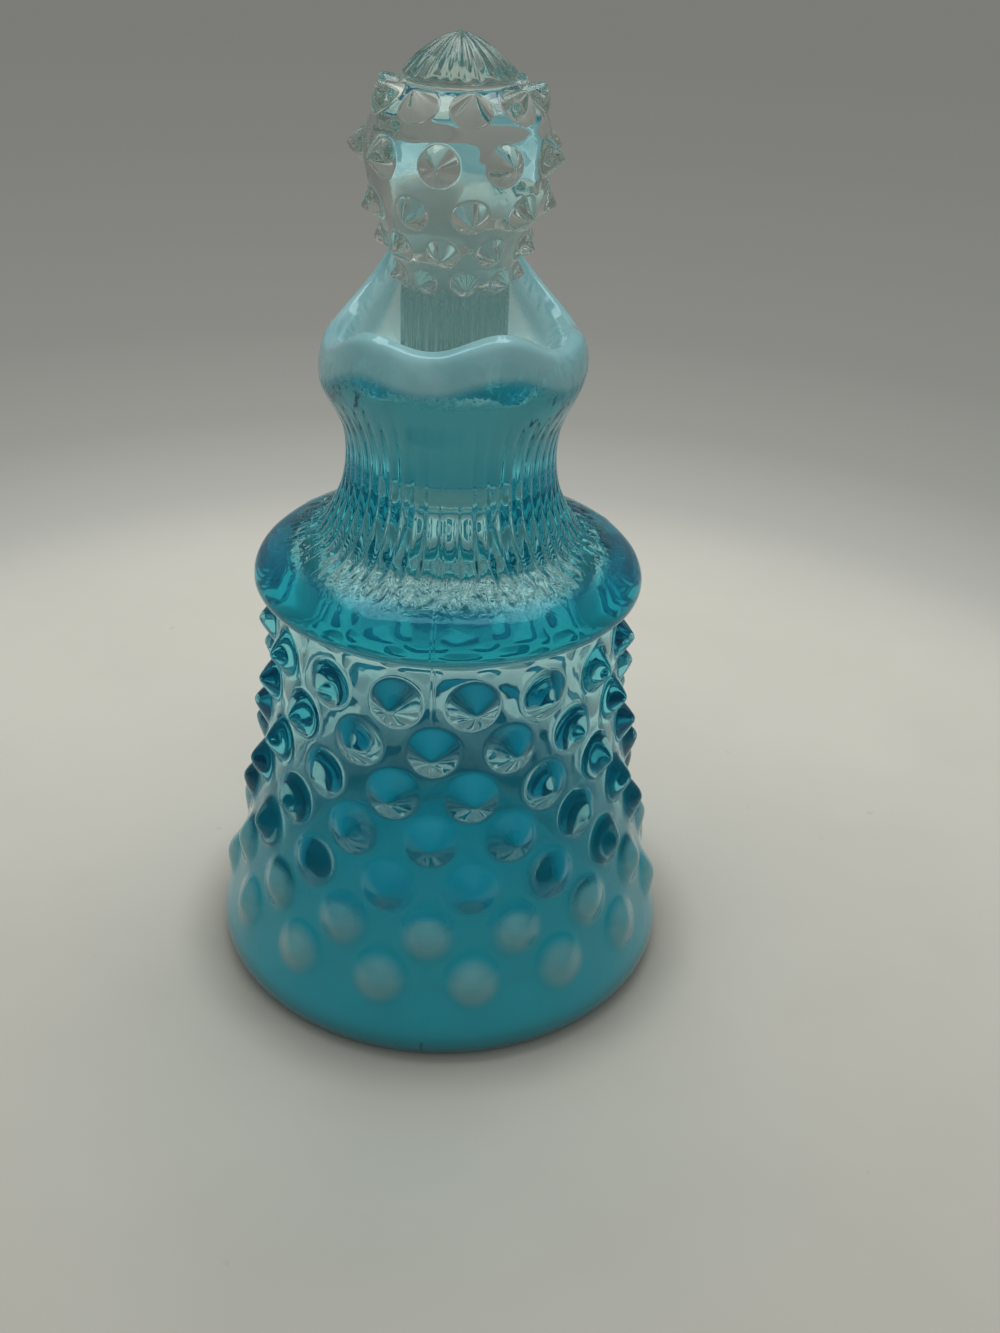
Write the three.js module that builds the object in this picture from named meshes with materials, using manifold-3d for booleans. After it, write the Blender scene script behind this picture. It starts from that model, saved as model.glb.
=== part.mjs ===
// Hobnail glass cruet: a mould-made bottle and the ground stopper that lifts out of it.
// Millimetres, +Z up, the front towards -Y, the origin on the ground under the bottle's axis.
import * as THREE from "three";
import { mergeVertices } from "three/addons/utils/BufferGeometryUtils.js";
import Module from "manifold-3d";

const wasm = await Module();
wasm.setup();

// Bottle: bell-shaped body on a flat foot ring
const bandRadius = 35; // widest circle, on the smooth band under the hobs
const bandHeight = 5;
const footRadius = 32.8;
const footRingWidth = 7;
const footHollow = 1.2; // how far the underside is pushed up inside the foot ring
const waistRadius = 24.8; // bare wall right under the collar
const waistHeight = 60.8;
const wall = 4;
const floorThickness = 6;
const floorCorner = 5; // rounding between the inner floor and the wall

// Bottle: rows of hobs, each row turned half a step from its neighbours
const hobRows = 7;
const hobsPerRow = 15;
const lowestHobRow = 12.8;
const hobRowPitch = 6.92;
const hobRise = 2.6; // in the upper rows
const lowestHobRise = 1.6;
const domedHobRows = 2; // softer than the cones above them
const lowestHobRadius = 4.1;
const highestHobRadius = 3.65;
const hobTurn = THREE.MathUtils.degToRad(-15.5); // one hob of the top row, seen from the front

// Bottle: collar ring that stands out over the body
const collarRadius = 27.8;
const collarRise = 2.3; // underside to its widest circle
const collarHeight = 8.8; // underside to where the neck leaves it
const collarInnerRadius = 18.5; // where the neck's flare meets the collar

// Bottle: ribbed neck and ruffled lip
const throatRadius = 14.6;
const throatHeight = 81.2;
const neckRibs = 48;
const neckRibDepth = 0.15;
const ribFadeStart = 86;
const ribFadeEnd = 92;
const lipRadius = 15.8; // middle of the rolled lip
const lipThickness = 4.6;
const lipHeight = 100.7; // mean height of its crest
const lipSaddle = 2.85; // front and back rise, left and right sink
const lipTilt = 1.77; // the back of the lip stands higher than the front
const lipSkew = 0.37; // and its right side higher than its left
const lipPeak = 0.72; // narrows the dip at the front and the peak at the back
const lipHorn = 12.1; // how far the back is pulled up beyond that, behind the knob
const lipHornTurn = THREE.MathUtils.degToRad(178);
const lipHornSpread = THREE.MathUtils.degToRad(24);
const lipCrimp = 1.04; // waves crimped by hand into the front half
const lipCrimps = 5.5; // per turn
const lipCrimpTurn = THREE.MathUtils.degToRad(-10.5);

// Ground seat: the stopper's tapered plug in the neck's bore
const plugTopRadius = 7.6;
const plugTopHeight = 92.5;
const plugBottomRadius = 4.8;
const plugBottomHeight = 76;
const seatClearance = 0.3;
const seatBottomHeight = 78;
const seatMouthHeight = 91.6;
const innerNeckRadius = 7; // blown surface under the ground seat
const plugTipLength = 2.5;

// Stopper: ribbed stem, hobnail knob and fluted crown
const stemRadius = 6.9;
const stemRibs = 32;
const stemRibDepth = 0.25;
const stemTopHeight = 105;
const knobRadius = 11.9;
const knobHeight = 24.6; // the stem's top to the crown
const knobTopHeight = stemTopHeight + knobHeight;
const knobWidest = 16; // the stem's top to its widest circle
const knobWidestHeight = stemTopHeight + knobWidest;
const knobTopRadius = 7;
const knobHobsPerRow = 9;
const topKnobHobRadius = 2.6;
const lowestKnobHob = 1; // the stem's top to the middle of the lowest row
const knobHobSteps = [2.1, 6.3, 6.1, 4.9, 4.2]; // proportions, from the knob's top down from row to row
const knobHobShrink = 0.2; // each lower row's radius is smaller by this
const knobHobSlimness = 0.85; // rise over radius
const knobHobTurn = THREE.MathUtils.degToRad(9);
const crownRadius = 7.2;
const crownHeight = 4.6;
const crownFlutes = 24;
const crownFluteDepth = 0.4;

const blueGlass = new THREE.MeshStandardMaterial({ color: 0x3f9fb8, roughness: 0.08, metalness: 0 });
const clearGlass = new THREE.MeshStandardMaterial({ color: 0xc9d3cf, roughness: 0.06, metalness: 0 });

// Turns a closed geometry into a solid: corners that coincide become one, and the slivers
// that a revolve leaves on its axis go.
function solid(geometry) {
  geometry.deleteAttribute("normal");
  geometry.deleteAttribute("uv");
  const merged = mergeVertices(geometry);
  const corners = merged.index.array;
  const kept = [];
  for (let i = 0; i < corners.length; i += 3) {
    const [a, b, c] = corners.slice(i, i + 3);
    if (a !== b && b !== c && c !== a) kept.push(a, b, c);
  }
  return new wasm.Manifold(new wasm.Mesh({
    numProp: 3,
    vertProperties: new Float32Array(merged.attributes.position.array),
    triVerts: new Uint32Array(kept),
  }));
}

function toMesh(name, manifold, material) {
  const { vertProperties, triVerts } = manifold.getMesh();
  const geometry = new THREE.BufferGeometry();
  geometry.setAttribute("position", new THREE.BufferAttribute(vertProperties, 3));
  geometry.setIndex(new THREE.BufferAttribute(triVerts, 1));
  geometry.computeVertexNormals();
  const mesh = new THREE.Mesh(geometry, material);
  mesh.name = name;
  return mesh;
}

const point = (radius, height) => new THREE.Vector2(radius, height);

// Revolves an outline about +Z. It starts on the axis below and ends on the axis above, and
// shape(corner, turn, place) may move each corner: turn is its angle from the front and place
// its number along the outline.
function revolve(outline, segments, shape) {
  const geometry = new THREE.LatheGeometry(outline, segments).rotateX(Math.PI / 2);
  const { position } = geometry.attributes;
  const corner = new THREE.Vector3();
  for (let i = 0; shape && i < position.count; i++) {
    const turn = Math.floor(i / outline.length) * 2 * Math.PI / segments;
    corner.fromBufferAttribute(position, i);
    shape(corner, turn, i % outline.length);
    position.setXYZ(i, corner.x, corner.y, corner.z);
  }
  return solid(geometry);
}

// Moves a corner away from the axis by a distance.
function pushOut(corner, distance) {
  const radius = Math.hypot(corner.x, corner.y);
  const scale = radius > 0 ? (radius + distance) / radius : 1;
  corner.x *= scale;
  corner.y *= scale;
}

// A hob: a cone of the given radius at the surface that carries it, its foot sunk below. A
// domed one bulges on its way to the tip.
function hob(radius, rise, domed) {
  const sunk = 0.2 * rise;
  const foot = radius * (rise + sunk) / rise;
  const bulge = domed ? [point(0.55 * radius, 0.72 * rise)] : [];
  return new THREE.LatheGeometry([point(0, -2 * sunk), point(foot, -sunk), ...bulge, point(0, rise)], 8);
}

// Stands a ring of hobs on a surface of revolution, square to the surface: slope is the
// surface's change of radius per millimetre of height.
function hobRing(count, turn, { radius, height, slope }, hobRadius, rise, domed = false) {
  const ring = [];
  for (let i = 0; i < count; i++) {
    const angle = turn + i * 2 * Math.PI / count;
    const outward = new THREE.Vector3(Math.sin(angle), -Math.cos(angle), -slope).normalize();
    const upright = new THREE.Quaternion().setFromUnitVectors(new THREE.Vector3(0, 1, 0), outward);
    const geometry = hob(hobRadius, rise, domed).applyQuaternion(upright);
    geometry.translate(radius * Math.sin(angle), -radius * Math.cos(angle), height);
    ring.push(solid(geometry));
  }
  return ring;
}

// Radius of the bare bell at a height between the band and the collar, and its slope.
function bell(height) {
  const left = (waistHeight - height) / (waistHeight - bandHeight);
  return waistRadius + (bandRadius - waistRadius) * left * left;
}
function bellSlope(height) {
  const left = (waistHeight - height) / (waistHeight - bandHeight);
  return -2 * (bandRadius - waistRadius) * left / (waistHeight - bandHeight);
}

// Points of the bell from one height to another, moved inward by an offset.
function bellPoints(from, to, steps, inward) {
  const points = [];
  for (let i = 0; i <= steps; i++) {
    const height = from + (to - from) * i / steps;
    points.push(point(bell(height) - inward, height));
  }
  return points;
}

const collarTop = waistHeight + collarHeight;

// The body's outside: foot, band, bell and collar, closed by a flat inside the neck's flare.
function bodySolid() {
  const collarWidest = waistHeight + collarRise;
  const shoulder = new THREE.SplineCurve([
    point(collarRadius, collarWidest),
    point(collarRadius - 0.8, collarWidest + 1.8),
    point(collarRadius - 2.8, collarWidest + 3.4),
    point((collarRadius + collarInnerRadius) / 2 - 1.2, collarTop - 1.6),
    point(collarInnerRadius, collarTop),
  ]);
  return revolve([
    point(0, footHollow),
    point(footRadius - footRingWidth - footHollow, footHollow),
    point(footRadius - footRingWidth, 0),
    point(footRadius, 0),
    point(footRadius + 0.65 * (bandRadius - footRadius), 0.16 * bandHeight),
    point(footRadius + 0.92 * (bandRadius - footRadius), 0.5 * bandHeight),
    ...bellPoints(bandHeight, waistHeight, 5, 0),
    point(collarRadius - 1.2, waistHeight + 0.3),
    point(collarRadius - 0.2, waistHeight + 0.5 * collarRise),
    ...shoulder.getPoints(5),
    point(0.8 * collarInnerRadius, collarTop + 0.5),
    point(0, collarTop + 0.5),
  ], 48);
}

// The body's hobs. The top row has a hob at hobTurn, and every second row is half a step on.
function bodyHobs() {
  const rows = [];
  for (let row = 0; row < hobRows; row++) {
    const height = lowestHobRow + row * hobRowPitch;
    const fromTop = hobRows - 1 - row;
    const turn = hobTurn + (fromTop % 2) * Math.PI / hobsPerRow;
    const hobRadius = THREE.MathUtils.lerp(lowestHobRadius, highestHobRadius, row / (hobRows - 1));
    const full = THREE.MathUtils.smoothstep(row, 0, domedHobRows + 1);
    const rise = THREE.MathUtils.lerp(lowestHobRise, hobRise, full);
    const place = { radius: bell(height), height, slope: bellSlope(height) };
    rows.push(...hobRing(hobsPerRow, turn, place, hobRadius, rise, row < domedHobRows));
  }
  return rows;
}

// Height that the ruffle adds to the lip at an angle from the front.
function ruffle(angle) {
  const turn = THREE.MathUtils.euclideanModulo(angle + Math.PI, 2 * Math.PI) - Math.PI;
  const front = THREE.MathUtils.smoothstep(Math.cos(turn), -0.5, 0.5);
  const fromHorn = THREE.MathUtils.euclideanModulo(angle - lipHornTurn + Math.PI, 2 * Math.PI) - Math.PI;
  return lipSaddle * Math.cos(2 * turn) - lipTilt * Math.cos(turn) + lipSkew * Math.sin(turn)
    - lipPeak * Math.cos(3 * turn)
    - lipCrimp * front * Math.cos(lipCrimps * (turn - lipCrimpTurn))
    + lipHorn * Math.exp(-((fromHorn / lipHornSpread) ** 2));
}

// Share of the ribs' full depth at a height on the neck.
function ribShare(height) {
  return 1 - THREE.MathUtils.smoothstep(height, ribFadeStart, ribFadeEnd);
}

// The neck and lip without the bore. Each place on the outline is radius, height and the
// share of the ruffle that it follows; the ribs run up the outside only.
function neckSolid() {
  const half = lipThickness / 2;
  const places = new THREE.CatmullRomCurve3([
    new THREE.Vector3(collarInnerRadius + 2.6, collarTop - 2.6, 0),
    new THREE.Vector3(collarInnerRadius - 1.2, collarTop + 2, 0),
    new THREE.Vector3(throatRadius + 0.6, throatHeight - 5, 0),
    new THREE.Vector3(throatRadius, throatHeight, 0),
    new THREE.Vector3(throatRadius + 0.6, throatHeight + 5, 0.15),
    new THREE.Vector3(lipRadius + 0.8 * half, lipHeight - 8, 0.6),
    new THREE.Vector3(lipRadius + half, lipHeight - 4.4, 0.9),
    new THREE.Vector3(lipRadius + 0.7 * half, lipHeight - 1.1, 1),
    new THREE.Vector3(lipRadius, lipHeight, 1),
    new THREE.Vector3(lipRadius - 0.8 * half, lipHeight - 1.2, 1),
    new THREE.Vector3(lipRadius - 1.6 * half, lipHeight - 3.8, 0.8),
    new THREE.Vector3(plugTopRadius - 0.5, seatMouthHeight, 0),
  ]).getPoints(12);
  const crest = places.reduce((best, place, i) => (place.y > places[best].y ? i : best), 0);
  const outline = [
    point(0, places[0].y),
    ...places.map(({ x, y }) => point(x, y)),
    point(0, seatMouthHeight),
  ];
  return revolve(outline, 2 * neckRibs, (corner, turn, place) => {
    const index = place - 1;
    if (index < 0 || index >= places.length) return;
    const rib = index < crest ? neckRibDepth * ribShare(corner.z) : 0;
    pushOut(corner, rib * Math.cos(neckRibs * turn));
    corner.z += places[index].z * ruffle(turn);
  });
}

// Radius of the plug's ground cone at a height.
function plugRadius(height) {
  const share = (height - plugBottomHeight) / (plugTopHeight - plugBottomHeight);
  return plugBottomRadius + (plugTopRadius - plugBottomRadius) * share;
}

// The hollow inside the bottle: the body's, the shoulder's, and the ground bore up the neck.
function hollowSolid() {
  const cornerHeight = floorThickness + floorCorner;
  const top = waistHeight - wall / 2;
  const corner = bell(cornerHeight) - wall;
  return revolve([
    point(0, floorThickness),
    point(corner - floorCorner, floorThickness),
    point(corner - 0.3 * floorCorner, floorThickness + 0.3 * floorCorner),
    ...bellPoints(cornerHeight, top, 4, wall),
    point(waistRadius - wall - 1.6, waistHeight + 1),
    point(collarInnerRadius - 3.5, collarTop - 4),
    point(innerNeckRadius + 2, collarTop - 1.4),
    point(innerNeckRadius, collarTop + 0.6),
    point(innerNeckRadius, seatBottomHeight - 2.5),
    point(plugRadius(seatBottomHeight) + seatClearance, seatBottomHeight),
    point(plugRadius(seatMouthHeight) + seatClearance, seatMouthHeight),
    point(plugRadius(seatMouthHeight + 2) + seatClearance, seatMouthHeight + 2),
    point(0, seatMouthHeight + 2),
  ], 32);
}

function bottle() {
  const whole = [neckSolid(), ...bodyHobs()].reduce((sum, part) => sum.add(part), bodySolid());
  return toMesh("bottle", whole.subtract(hollowSolid()), blueGlass);
}

// The ground plug and its rounded clear tip.
function plugSolid() {
  const tip = plugBottomHeight - plugTipLength;
  return revolve([
    point(0, tip),
    point(0.62 * plugBottomRadius, tip + 0.1 * plugTipLength),
    point(0.93 * plugBottomRadius, tip + 0.5 * plugTipLength),
    point(plugBottomRadius, plugBottomHeight),
    point(plugTopRadius, plugTopHeight),
    point(stemRadius - 1, plugTopHeight + 1.6),
    point(0, plugTopHeight + 1.6),
  ], 32);
}

// The ribbed stem between the plug and the knob.
function stemSolid() {
  const outline = [
    point(0, plugTopHeight),
    point(stemRadius, plugTopHeight),
    point(stemRadius, stemTopHeight + 1),
    point(0, stemTopHeight + 1),
  ];
  return revolve(outline, 2 * stemRibs, (corner, turn) => {
    pushOut(corner, stemRibDepth * Math.cos(stemRibs * turn));
  });
}

// The knob's outline from the stem to the crown, as radius over height.
const knobOutline = new THREE.SplineCurve([
  point(stemRadius, stemTopHeight - 1.2),
  point(0.64 * knobRadius, stemTopHeight + 1.5),
  point(0.85 * knobRadius, knobWidestHeight - 7.8),
  point(0.97 * knobRadius, knobWidestHeight - 3.4),
  point(knobRadius, knobWidestHeight),
  point(0.97 * knobRadius, knobWidestHeight + 2.8),
  point(0.87 * knobRadius, knobWidestHeight + 5.6),
  point(knobTopRadius, knobTopHeight),
]);

// The knob's surface at a height, between the nearest points of its outline.
function knobAt(height) {
  const points = knobOutline.getPoints(60);
  const i = points.findIndex((p) => p.y > height);
  const [low, high] = [points[i - 1], points[i]];
  const slope = (high.x - low.x) / (high.y - low.y);
  return { radius: low.x + slope * (height - low.y), height, slope };
}

function knobSolids() {
  const outline = knobOutline.getPoints(8);
  const ball = revolve([point(0, outline[0].y), ...outline, point(0, knobTopHeight)], 32);
  const stretch = (knobHeight - lowestKnobHob) / knobHobSteps.reduce((sum, step) => sum + step);
  let height = knobTopHeight;
  const rows = knobHobSteps.flatMap((step, row) => {
    height -= stretch * step;
    const turn = knobHobTurn + (row % 2) * Math.PI / knobHobsPerRow;
    const hobRadius = topKnobHobRadius - row * knobHobShrink;
    return hobRing(knobHobsPerRow, turn, knobAt(height), hobRadius, knobHobSlimness * hobRadius);
  });
  return [ball, ...rows];
}

// The crown: a low cone like an open umbrella, its flutes dying out at the point.
function crownSolid() {
  const rim = knobTopHeight + 0.7;
  const outline = [
    point(0, knobTopHeight - 0.8),
    point(crownRadius - 0.6, knobTopHeight - 0.8),
    point(crownRadius, rim),
    point(0.7 * crownRadius, rim + 0.46 * crownHeight),
    point(0.34 * crownRadius, rim + 0.82 * crownHeight),
    point(0, rim + crownHeight),
  ];
  return revolve(outline, 2 * crownFlutes, (corner, turn) => {
    const share = Math.hypot(corner.x, corner.y) / crownRadius;
    const fluted = corner.z > knobTopHeight ? share : 0;
    pushOut(corner, -0.5 * crownFluteDepth * fluted * (1 - Math.cos(crownFlutes * turn)));
  });
}

function stopper() {
  const parts = [stemSolid(), ...knobSolids(), crownSolid()];
  return toMesh("stopper", parts.reduce((sum, part) => sum.add(part), plugSolid()), clearGlass);
}

const cruet = new THREE.Group();
cruet.add(bottle(), stopper());
export default cruet;
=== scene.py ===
import math

import bpy
import numpy as np
from mathutils import Matrix, Vector


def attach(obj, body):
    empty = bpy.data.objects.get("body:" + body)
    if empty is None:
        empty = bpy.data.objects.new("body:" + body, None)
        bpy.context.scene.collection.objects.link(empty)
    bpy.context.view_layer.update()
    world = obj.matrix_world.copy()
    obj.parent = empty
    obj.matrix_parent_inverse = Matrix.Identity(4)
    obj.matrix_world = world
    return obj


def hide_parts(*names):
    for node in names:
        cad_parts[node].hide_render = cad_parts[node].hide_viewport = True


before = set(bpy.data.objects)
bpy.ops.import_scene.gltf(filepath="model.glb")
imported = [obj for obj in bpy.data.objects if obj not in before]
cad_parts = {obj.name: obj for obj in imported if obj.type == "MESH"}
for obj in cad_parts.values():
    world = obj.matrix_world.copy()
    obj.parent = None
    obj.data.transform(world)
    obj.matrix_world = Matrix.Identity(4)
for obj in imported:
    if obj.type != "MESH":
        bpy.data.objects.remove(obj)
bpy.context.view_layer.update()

MM = 0.001

# Bottle
BAND_RADIUS, BAND_HEIGHT = 35.0, 5.0
FOOT_RADIUS, FOOT_RING_WIDTH, FOOT_HOLLOW = 32.8, 7.0, 1.2
WAIST_RADIUS, WAIST_HEIGHT = 24.8, 60.8
WALL, FLOOR_THICKNESS = 4.0, 6.0
HOB_ROWS, HOBS_PER_ROW = 7, 15
LOWEST_ROW, ROW_PITCH, HOB_RISE, LOWEST_HOB_RISE = 12.8, 6.92, 2.6, 1.6
LOWEST_HOB_RADIUS, HIGHEST_HOB_RADIUS = 4.1, 3.65
DOMED_ROWS = 3  # the lowest rows rise less than the others
HOB_TIPS = [0.55, 0.6, 0.65, 0.9, 1.15, 1.4, 1.7]  # roundness of the tips, from the top row down
HOB_FEET = [0.10, 0.10, 0.12, 0.2, 0.3, 0.35, 0.4]  # softness of their feet
HOB_TURN = math.radians(-15.5)
SEAM_TURNS = [-4.0, 116.0, 236.0]  # degrees, where the three parts of the mould met
COLLAR_RADIUS, COLLAR_TOP, SHOULDER_RADIUS = 27.8, 69.6, 18.5
THROAT_RADIUS, THROAT_HEIGHT = 14.6, 81.2
NECK_RIBS, NECK_GROOVE = 48, 0.16
STIPPLE_DEPTH, SEAM_RISE = 0.10, 0.07
WAVINESS, INNER_WAVINESS = 0.05, 0.18
LIP_RADIUS, LIP_THICKNESS, LIP_HEIGHT = 15.8, 4.6, 100.7
LIP_SADDLE, LIP_TILT, LIP_SKEW, LIP_PEAK = 2.85, 1.77, 0.37, 0.72
LIP_CRIMP, LIP_CRIMPS, LIP_CRIMP_TURN = 1.04, 5.5, math.radians(-10.5)
LIP_HORN, LIP_HORN_TURN, LIP_HORN_SPREAD, LIP_CURL = 12.1, math.radians(182), math.radians(25), 0.5
# Heights, and the share of the lip's wave that the outside and the mouth follow there
LIP_WAVE = [81.2, 86.2, 92.2, 95.8, 99.1], [0, 0.15, 0.6, 0.9, 1]
MOUTH_WAVE = [91.6, 96.4, 99, 100.2], [0, 0.8, 1, 1]
# How far down from the crest it is milky, and how much less far where the lip is drawn up
LIP_MILK, MOUTH_MILK = (5.5, 4.4), (3.5, 2.6)
# Heights, and how milky the caps of the hobs are there
CAP_MILK = [20, 22, 23.5, 25], [1, 0.9, 0.2, 0]
SEAT_GAP, SEAT_BOTTOM = 0.3, 78.0
BOTTLE_COLUMNS = 720
INNER_COLUMNS = 240

# Stopper
PLUG_TOP, PLUG_BOTTOM = (7.6, 92.5), (4.8, 76.0)
PLUG_TIP = 73.5
STEM_RADIUS, STEM_RIBS, STEM_RIB_DEPTH, STEM_TOP = 6.9, 32, 0.25, 105.0
KNOB_RADIUS, KNOB_WIDEST, KNOB_TOP = 11.9, 121.0, (7.0, 129.6)
KNOB_HOBS, KNOB_HOB_RISE, KNOB_TURN = 9, 2.2, math.radians(9)
KNOB_ROWS = [(127.5, 2.6), (121.2, 2.5), (115.1, 2.3), (110.2, 2.1), (106.0, 1.75)]  # height, hob radius
HOB_TIP, HOB_FOOT = 0.22, 0.02
CROWN_RADIUS, CROWN_HEIGHT, CROWN_FLUTES, CROWN_FLUTE_DEPTH = 7.2, 4.6, 24, 0.4
STOPPER_TOP = 134.88
STOPPER_COLUMNS = 384

# Glass, as linear colours, and absorption per metre of red, green and blue
DEEP_BLUE = (0.003, 0.24, 0.31, 1), (0.010, 0.295, 0.37, 1)
# darker blue for the bottom of the foot: painted shade, with a painted reflection of the floor's shadow on
# the lowest edge
FOOT_PAINTED_SHADE_BLUE = (0.014, 0.14, 0.155, 1)
SEAM_BLUE = (0.01, 0.05, 0.06, 1)
COLLAR_BLUE = (0.001, 0.18, 0.28, 1)
CAP_BLUE = (0.10, 0.29, 0.325, 1), (0.13, 0.35, 0.38, 1)
LIP_BLUE = (0.26, 0.50, 0.54, 1), (0.32, 0.56, 0.59, 1)
# lighter blue for milky faces seen from within the glass: painted light, standing in for light that comes
# through the milky walls
INNER_PAINTED_LIGHT_BLUE = (0.012, 0.42, 0.52, 1)
SEAT_FROST = (0.62, 0.92, 0.94, 1)
BLUE_TINTS = (0.97, 0.99, 0.99, 1), (1, 1, 1, 1)
COLLAR_TINT = (0.015, 0.80, 0.95, 1)
BLUE_ABSORPTION = 70.0, 12.5, 7.0
CLEAR_TINTS = (0.97, 0.99, 0.98, 1), (0.93, 0.97, 0.96, 1)
# darker tint for the satin stem and crown: painted shade, standing in for the darker surroundings seen
# through them
SATIN_PAINTED_SHADE_TINT = (0.33, 0.475, 0.465, 1)
PLUG_FROST = (0.64, 0.80, 0.78, 1)
CLEAR_ABSORPTION = 6.0, 3.5, 4.5


def smoothstep(value, low, high):
    share = np.clip((value - low) / (high - low), 0, 1)
    return share * share * (3 - 2 * share)


def fade(value, low, high):
    """1 up to low, and down to 0 at high."""
    return 1 - smoothstep(value, low, high)


def along(points):
    return np.concatenate([[0], np.cumsum(np.linalg.norm(np.diff(points, axis=0), axis=1))])


def resample(points, step):
    """Points at about equal steps along a polyline."""
    points = np.asarray(points, float)
    reach = along(points)
    wanted = np.linspace(0, reach[-1], max(2, round(reach[-1] / step) + 1))
    return np.stack([np.interp(wanted, reach, points[:, i]) for i in range(points.shape[1])], 1)


def spline(points, steps=24):
    """A smooth curve through the points."""
    points = np.asarray(points, float)
    padded = np.concatenate([[2 * points[0] - points[1]], points, [2 * points[-1] - points[-2]]])
    share = np.linspace(0, 1, steps, endpoint=False)[:, None]
    found = []
    for a, b, c, d in zip(padded, padded[1:], padded[2:], padded[3:]):
        found.append(0.5 * (2 * b + (c - a) * share + (2 * a - 5 * b + 4 * c - d) * share ** 2
                            + (3 * b - a - 3 * c + d) * share ** 3))
    return np.concatenate(found + [points[-1:]])


def soften(values, reach):
    """Rounds the corners of a line of samples; reach is in samples, and the ends stay."""
    half = int(3 * reach) + 1
    kernel = np.exp(-0.5 * (np.arange(-half, half + 1) / reach) ** 2)
    kernel /= kernel.sum()
    values = np.asarray(values, float)
    flat = values.reshape(len(values), -1)
    before = 2 * flat[:1] - flat[half:0:-1]
    after = 2 * flat[-1:] - flat[-2:-half - 2:-1]
    padded = np.concatenate([before, flat, after])
    smooth = np.stack([np.convolve(padded[:, i], kernel, "valid") for i in range(flat.shape[1])], 1)
    return smooth.reshape(values.shape)


def normals(points):
    """Outward normals (radius, height) of an outline that runs up its outside."""
    tangent = np.gradient(points, axis=0)
    tangent /= np.linalg.norm(tangent, axis=1)[:, None]
    return np.stack([tangent[:, 1], -tangent[:, 0]], 1)


def bell(height):
    left = (WAIST_HEIGHT - height) / (WAIST_HEIGHT - BAND_HEIGHT)
    return WAIST_RADIUS + (BAND_RADIUS - WAIST_RADIUS) * left * left


def plug_radius(height):
    share = (height - PLUG_BOTTOM[1]) / (PLUG_TOP[1] - PLUG_BOTTOM[1])
    return PLUG_BOTTOM[0] + (PLUG_TOP[0] - PLUG_BOTTOM[0]) * share


def turns(columns):
    """Angles of the columns, from the front (-Y) towards +X."""
    return np.arange(columns) * 2 * math.pi / columns


def wrapped(angle, period):
    return (angle + 0.5 * period) % period - 0.5 * period


def ruffle(turn):
    """Height that the hand-crimped lip gains: waved at the front, drawn up at the back."""
    turn = wrapped(turn, 2 * math.pi)
    front = smoothstep(np.cos(turn), -0.5, 0.5)
    from_horn = wrapped(turn - LIP_HORN_TURN, 2 * math.pi)
    horn = np.exp(-(from_horn / LIP_HORN_SPREAD) ** 2)
    return (LIP_SADDLE * np.cos(2 * turn) - LIP_TILT * np.cos(turn) + LIP_SKEW * np.sin(turn)
            - LIP_PEAK * np.cos(3 * turn)
            + horn * (LIP_HORN + LIP_CURL * np.sin(12 * from_horn))
            - LIP_CRIMP * front * np.cos(LIP_CRIMPS * (turn - LIP_CRIMP_TURN)))


def wobble(turn, height, scale):
    """The slight waviness of pressed glass, between -1 and 1."""
    waves = [(3, 0.061, 0.4), (5, 0.093, 2.1), (8, -0.127, 4.4), (13, 0.171, 1.3), (21, -0.233, 5.2)]
    total = sum(np.sin(n * turn + k * height * scale + p) / (1 + 0.25 * i)
                for i, (n, k, p) in enumerate(waves))
    return total / 3.2


def hob_field(outline, turn, rows, count, first_turn, sizes):
    """Height of the hobs over a revolved outline, and where their round caps are, from 0 to 1.
    rows are heights from the first row on, sizes (radius, rise, tip, foot) for each."""
    reach = along(outline)
    field = np.zeros((len(outline), len(turn)))
    caps = np.zeros((len(outline), len(turn)))
    for row, (height, (radius, rise, tip, foot)) in enumerate(zip(rows, sizes)):
        place = np.argmin(np.abs(outline[:, 1] - height))
        near = np.abs(reach - reach[place]) < 2.2 * radius
        angle = wrapped(turn - first_turn - (row % 2) * math.pi / count, 2 * math.pi / count)
        across = outline[place, 0] * angle
        distance = np.hypot(across[None, :], (reach[near] - reach[place])[:, None])
        slope = (np.sqrt(distance ** 2 + tip ** 2) - tip) / (math.sqrt(radius ** 2 + tip ** 2) - tip)
        bare = rise * (1 - slope)
        raised = 0.5 * (bare + np.sqrt(bare ** 2 + foot ** 2))
        field[near] += raised * fade(distance, 1.25 * radius, 1.9 * radius)
        caps[near] = np.maximum(caps[near], fade(distance, 0.5 * radius, 1.05 * radius))
    return field, caps


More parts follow.
